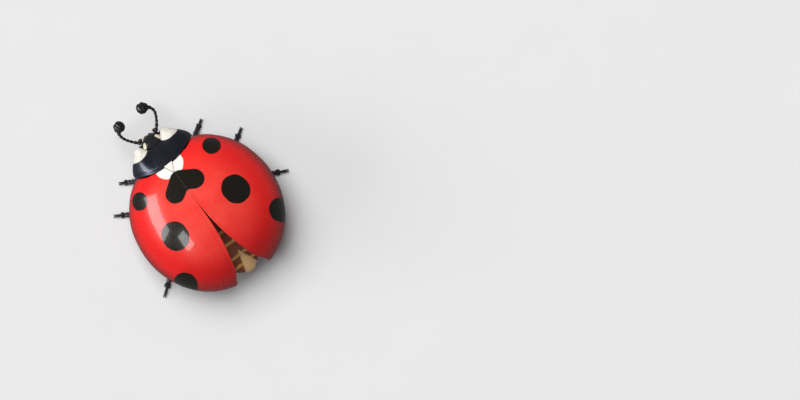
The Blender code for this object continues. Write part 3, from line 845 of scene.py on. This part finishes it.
def abdomenPaint():
    paint = Paint("abdomenBrown", coat=0.15, coatRough=0.25, specular=0.4)
    x, y, z = paint.split(paint.coords)
    wobble = paint.math("ADD", y, paint.times(paint.math("SUBTRACT", paint.noise(5.0, 2.0), 0.5), 0.08))
    across = paint.math("DIVIDE", x, core["halfWidth"])
    wobble = paint.math("SUBTRACT", wobble, paint.times(paint.times(across, across), abdomen["bend"]))
    mottle = paint.noise(7.0, 5.0)
    upper = paint.ramp(paint.math("SUBTRACT", z, 1.2), 0.0, 0.12)
    plates = paint.blend(mottle, (0.200, 0.052, 0.025), (0.270, 0.086, 0.041))
    tan = paint.blend(mottle, (0.85, 0.430, 0.125), (0.70, 0.330, 0.088))
    band = 0.0
    for place in abdomen["backBands"]:
        away = paint.math("ABSOLUTE", paint.math("SUBTRACT", wobble, place))
        band = paint.math("MAXIMUM", band, paint.ramp(away, *abdomen["bandHalf"], 1.0, 0.0))
    back = paint.blend(band, plates, tan)
    under = paint.blend(mottle, (0.007, 0.006, 0.006), (0.020, 0.015, 0.014))
    colour = paint.blend(upper, under, back)
    lines = paint.bump(paint.noise(26.0), 0.010, 0.5)
    normal = paint.bump(paint.pits(14.0), 0.004, 0.4, lines)
    return paint.done(colour, (mottle, 0.36, 0.52), normal)


def abdomenPiece():
    end = core["tailCut"] + core["tailLength"]
    first = core["waist"] - abdomen["overlap"]

    def place(share, angle):
        if share < 0.02:
            return bodyPoint(0, first, rimHeight(first) + 0.3)
        t = (share - 0.02) / 0.98
        y = mix(first, end, math.sin(t * math.pi / 2) if t < 1 else 1)
        bent = y - abdomen["bend"] * (coreSize(y) * math.cos(angle)) ** 2
        back = segmentStep(bent, abdomen["backBands"], abdomen["backStep"]) * smooth(math.sin(angle) * 3)
        under = segmentStep(bent, abdomen["bellyBands"], abdomen["bellyStep"]) * smooth(-math.sin(angle) * 3)
        fade = min(coreSize(y) / 0.12, 1)
        return bodyPoint(*corePoint(y, angle, abdomen["sunk"] + (back + under) * fade))

    makePiece("abdomenSkin", spindle(150, 120, place), abdomenPaint(), ["abdomen", "pygidium"])
    print("abdomen done")


def bellyHairs(material):
    # fine short hairs that lie backwards on the underside
    chance = random.Random(11)
    roots = []
    while len(roots) < abdomen["hairs"]:
        y = chance.uniform(core["thoraxFront"] + 0.1, 3.6)
        angle = -math.pi * chance.uniform(0.06, 0.94)
        point = corePoint(y, angle, abdomen["sunk"] if y > core["waist"] else 0)
        outward = (point - Vector((0, y, rimHeight(y)))).normalized()
        way = (outward * 0.5 + Vector((0, 1, 0))).normalized()
        unwrapped = (0.5 + 0.4 * point.x / 3, 0.5 + 0.4 * (y - 1) / 3)
        roots.append((point - way * 0.01, way, chance.uniform(0.07, 0.13), unwrapped))
    makePiece("bellyHairs", hairShape(roots, abdomen["hairRadius"]), material, ())


def thoraxPaint():
    paint = Paint("thoraxBlack", coat=0.3, coatRough=0.15, specular=0.5)
    coords = paint.mirroredCoords(0.03, 4.0)
    mottle = paint.noise(9.0, 4.0)
    colour = paint.blend(mottle, (0.007, 0.006, 0.006), (0.020, 0.017, 0.017))
    pale = paint.spot(coords, (1.62, -1.28, 1.02), (1.92, -1.05, 1.06), 0.17, 0.03)
    colour = paint.blend(pale, colour, (0.72, 0.66, 0.55))
    normal = paint.bump(paint.noise(24.0, 2.0), 0.005, 0.35, paint.bump(paint.pits(12.0), 0.006, 0.5))
    return paint.done(colour, (mottle, 0.30, 0.44), normal)


hips = (  # place, radii, turn
    ((0.42, -2.24, 0.86), (0.26, 0.17, 0.12), -0.25),
    ((0.62, -1.06, 0.90), (0.25, 0.20, 0.11), 0.0),
    ((0.66, 0.42, 0.87), (0.42, 0.17, 0.10), 0.12),
)
shoulder = ((1.24, -1.98, 1.42), (0.36, 0.40, 0.34), 0.5)


def breastGroove(x, y):
    # seams of the breast plates, seen from below
    x = abs(x)
    middle = bell(x, 0.03) * smooth((y + 1.0) / 0.2) * (1 - smooth((y - 0.1) / 0.2))
    meso = bell(y + 1.35 + 0.12 * x, 0.035)
    flank = bell(x - 1.55 - 0.25 * (y + 1.2), 0.035) * smooth((y + 1.3) / 0.2)
    coxal = bell(y - 0.62 + 0.10 * x, 0.04) * smooth((1.9 - x) / 0.2)
    return 0.045 * max(middle, meso, flank, coxal)


def thoraxPieces(material):
    def place(share, angle):
        if share < 0.02 or share > 0.98:
            y = core["thoraxFront"] if share < 0.5 else core["waist"] - 0.03
            return bodyPoint(0, y, rimHeight(y) + 0.3)
        y = mix(core["thoraxFront"], core["waist"] - 0.03, (share - 0.02) / 0.96)
        point = corePoint(y, angle)
        depth = breastGroove(point.x, y) if math.sin(angle) < 0 else 0
        return bodyPoint(*corePoint(y, angle, -depth))

    makePiece("thoraxCore", spindle(130, 180, place), material, ["thorax"])

    def placeFront(share, angle):
        a = mix(0.22, 0.97, min(max((share - 0.04) / 0.92, 0), 1))
        across = math.asin(math.cos(angle))
        point = shieldPoint(a, across, shield["wall"] + 0.03)
        rim = mix(*shield["rim"], a)
        if math.sin(angle) < 0:
            keel = 0.05 * bell(point.x, 0.10) - 0.025 * bell(abs(point.x) - 0.16, 0.03)
            point.z = rim - (0.44 * math.cos(across) + keel * math.cos(across))
        if share < 0.02 or share > 0.98:
            return bodyPoint(0, shieldPoint(a, 0, 0).y, rim)
        return bodyPoint(*point)

    makePiece("prothoraxBody", spindle(60, 96, placeFront), material, ["prothorax"])
    for name, plates in (("hipJoints", hips), ("shoulderPlates", (shoulder,))):
        shape = bmesh.new()
        for side in (1, -1):
            for (x, y, z), radii, turn in plates:
                addInto(shape, stretched(ball(32, 20), (x * side, y, z), radii, turned(turn * side)))
        makePiece(name, shape, material, ())
    print("thorax done")


def membranePaint():
    paint = Paint("wingMembrane", Alpha=0.62, coat=0.3, coatRough=0.10, specular=0.5)
    shift = paint.vector("SCALE", paint.noise(1.2, colour=True), scale=0.5)
    wobble = paint.vector("ADD", paint.coords, shift)
    vein = paint.ramp(paint.cells(1.1, "DISTANCE_TO_EDGE", wobble), 0.012, 0.05, 1.0, 0.0)
    mottle = paint.noise(5.0, 4.0)
    film = paint.blend(mottle, (0.34, 0.20, 0.075), (0.22, 0.115, 0.045))
    colour = paint.blend(vein, film, (0.075, 0.030, 0.014))
    normal = paint.bump(paint.noise(3.5, 4.0), 0.06, 0.6, paint.bump(vein, 0.02, 0.6))
    return paint.done(colour, (mottle, 0.24, 0.40), normal)


hindWing = dict(sweep=(-30, 72), span=(0, 48), part=0.96, under=0.50, film=0.045, folds=2, foldDepth=0.10,
                roundEnd=16, crease=0.035)


def hindWingPieces(material):
    w = hindWing
    for side, name in sides:
        shape = bmesh.new()
        for fold in range(w["folds"]):
            lift = w["foldDepth"] * fold

            def place(a, b, under):
                end = w["sweep"][1] - 3 * fold - w["roundEnd"] * (abs(2 * b - 0.7) / 1.3) ** 3
                sweep = math.radians(mix(w["sweep"][0], end, a))
                span = math.radians(mix(w["span"][0], w["span"][1] - 4 * fold, b))
                point = domePoint(sweep, span, w["under"] + lift + (w["film"] if under else 0))
                crease = noise.noise(Vector((point.x * 1.4, point.y * 1.1, fold * 7.0 + 3 * side)))
                point.z += w["crease"] * crease * min(a * 8, (1 - a) * 8, 1)
                point.x += (w["part"] - 0.05 * fold) * seamOffset(point.y)
                return bodyPoint(point.x * side, point.y, point.z)

            addInto(shape, plate(60, 30, place))
        makePiece("foldedWing_" + name, shape, material, ["hindwing_" + name])
    print("folded wings done")


wedge = dict(apex=(-0.08, 2.83), half=0.02, corners=(-0.44, 0.26), film=0.035, lift=0.035)


def wedgePaint():
    paint = Paint("wingTip", coat=0.3, coatRough=0.15, specular=0.5)
    mottle = paint.noise(6.0, 4.0)
    x, y = paint.split(paint.coords)[:2]
    apexX, apexY = wedge["apex"]
    fan = paint.math("DIVIDE", paint.math("ADD", x, -apexX), paint.math("ADD", y, 0.5 - apexY))
    ray = paint.math("SINE", paint.times(fan, 44.0))
    colour = paint.blend(mottle, (0.76, 0.49, 0.225), (0.66, 0.41, 0.175))
    colour = paint.blend(paint.ramp(ray, 0.3, 1.0, 0.0, 0.22), colour, (0.40, 0.215, 0.085))
    normal = paint.bump(paint.noise(12.0), 0.010, 0.4, paint.bump(ray, 0.004, 0.4))
    return paint.done(colour, (mottle, 0.30, 0.45), normal)


def wedgePiece():
    # the tips of the folded wings, laid one over the other on the tail
    w = wedge
    wide = core["halfWidth"]
    root = wide * coreSize(core["tailCut"])

    def tailEnd(x):
        return core["tailCut"] + core["tailLength"] * (1 - (abs(x) / root) ** (1 / core["tailTaper"]))

    def place(a, b, under):
        apexX, apexY = w["apex"]
        endX = mix(w["corners"][0], w["corners"][1], b)
        start = Vector((apexX + mix(-w["half"], w["half"], b), apexY + 0.02 * (2 * b - 1) ** 2))
        x, y = start.lerp(Vector((endX, tailEnd(endX) - 0.004)), math.sin(a * math.pi / 2))
        size, step = coreSize(y), 0.002
        slope = (coreSize(y + step) - size) / step
        height = math.sqrt(max(size ** 2 - (x / wide) ** 2, 0))
        outward = Vector((x / wide ** 2, -size * slope, height / core["top"])).normalized()
        lift = w["lift"] * smooth(a * 5) + 0.02 * math.sin(math.pi * b) - (w["film"] if under else 0)
        return bodyPoint(*(Vector((x, y, rimHeight(y) + core["top"] * height)) + outward * lift))

    makePiece("wingTipWedge", plate(60, 30, place), wedgePaint(), ())
    print("wing tips done")


def floorPaint():
    paint = Paint("studioFloor", coat=0, coatRough=0.03, specular=0.1, Roughness=0.85)
    return paint.done(paint.blend(paint.noise(0.35), (0.765, 0.765, 0.765), (0.785, 0.785, 0.785)))


def studio():
    shape = bmesh.new()
    bmesh.ops.create_grid(shape, x_segments=1, y_segments=1, size=300 * mm)
    mesh = bpy.data.meshes.new("studioFloor")
    shape.to_mesh(mesh)
    shape.free()
    mesh.materials.append(floorPaint())
    floor = addObject("studioFloor", mesh)
    floor.visible_glossy = False  # the shell's rim stays deep red instead of mirroring the floor
    world = bpy.data.worlds.new("studioWorld")
    world.use_nodes = True
    sky = world.node_tree.nodes["Background"].inputs
    sky["Color"].default_value = (0.95, 0.97, 1.0, 1)
    sky["Strength"].default_value = lights["world"]
    bpy.context.scene.world = world
    target = bodyPoint(0, 0, 2)
    for name, way, axis, distance, size, brightness, lit in lights["lamps"]:
        lamp = bpy.data.lights.new(name, "AREA")
        lamp.shape = "RECTANGLE"
        lamp.size, lamp.size_y = size[0] * mm, size[1] * mm
        lamp.energy = brightness * math.pi * lamp.size * lamp.size_y
        holder = addObject(name, lamp)
        holder.visible_glossy = lit == "shine"
        holder.visible_diffuse = lit == "shade"
        away = Vector(way).normalized()
        along = (Vector(axis) - away * away.dot(Vector(axis))).normalized()
        turn = Matrix((along.cross(away), along, away)).transposed().to_4x4()
        holder.matrix_world = Matrix.Translation(target + away * distance * mm) @ turn
    print("studio done")


lights = dict(
    world=0.14,
    lamps=(
        # name, direction, long axis, distance, (width, length) in mm, brightness, what it lights
        ("keyShine", (0.84, -0.42, 0.37), (0.31, 0.90, 0.31), 1500, (600, 1350), 8.5, "shine"),
        ("spotShine", (0.632, 0.296, 0.715), (0.0, 1.0, 0.0), 1500, (315, 420), 10.0, "shine"),
        ("keyShade", (0.84, -0.42, 0.37), (0.31, 0.90, 0.31), 1500, (600, 1350), 4.9, "shade"),
        ("topSilk", (0.04, -0.44, 0.90), (1.0, 0.0, 0.0), 1500, (1200, 1200), 5.35, "shade"),
    ),
)
view = dict(heading=142, frameWidth=35.1, lens=300, aside=8.92, below=0.005, levelHeight=2.0)


def shoot():
    camera = bpy.data.cameras.new("viewCamera")
    camera.lens = view["lens"]
    camera.sensor_width = 36
    distance = view["frameWidth"] * mm * view["lens"] / 36
    camera.clip_start = distance * 0.1
    camera.clip_end = distance * 10
    holder = addObject("viewCamera", camera)
    turn = math.radians(view["heading"])
    right = Vector((math.cos(turn), math.sin(turn), 0))
    up = Vector((-math.sin(turn), math.cos(turn), 0))
    target = bodyPoint(0, 0, view["levelHeight"]) + (right * view["aside"] - up * view["below"]) * mm
    holder.matrix_world = Matrix.Translation(target + Vector((0, 0, distance))) @ turned(turn)
    bpy.context.scene.camera = holder


shoot()
studio()
bpy.context.scene.view_settings.view_transform = "Standard"
shellPaint = cuticlePaint("limbBlack", (0.011, 0.010, 0.019))
brownPaint = cuticlePaint("mouthBrown", (0.030, 0.016, 0.010))
feelerPaint = cuticlePaint("feelerBlack", (0.006, 0.006, 0.007), 16.0, 0.24)
footPaint = cuticlePaint("footBlack", (0.013, 0.010, 0.016), 20.0, 0.36)
hairPaint = cuticlePaint("bristle", (0.075, 0.048, 0.028), 30.0, 0.45)
shieldPiece()
scutellumPiece()
wingCases()
headPieces()
mouthPieces(feelerPaint, brownPaint, hairPaint)
feelerPieces(feelerPaint)
legPieces(shellPaint, footPaint, hairPaint)
abdomenPiece()
bellyHairs(hairPaint)
thoraxPieces(thoraxPaint())
hindWingPieces(membranePaint())
wedgePiece()
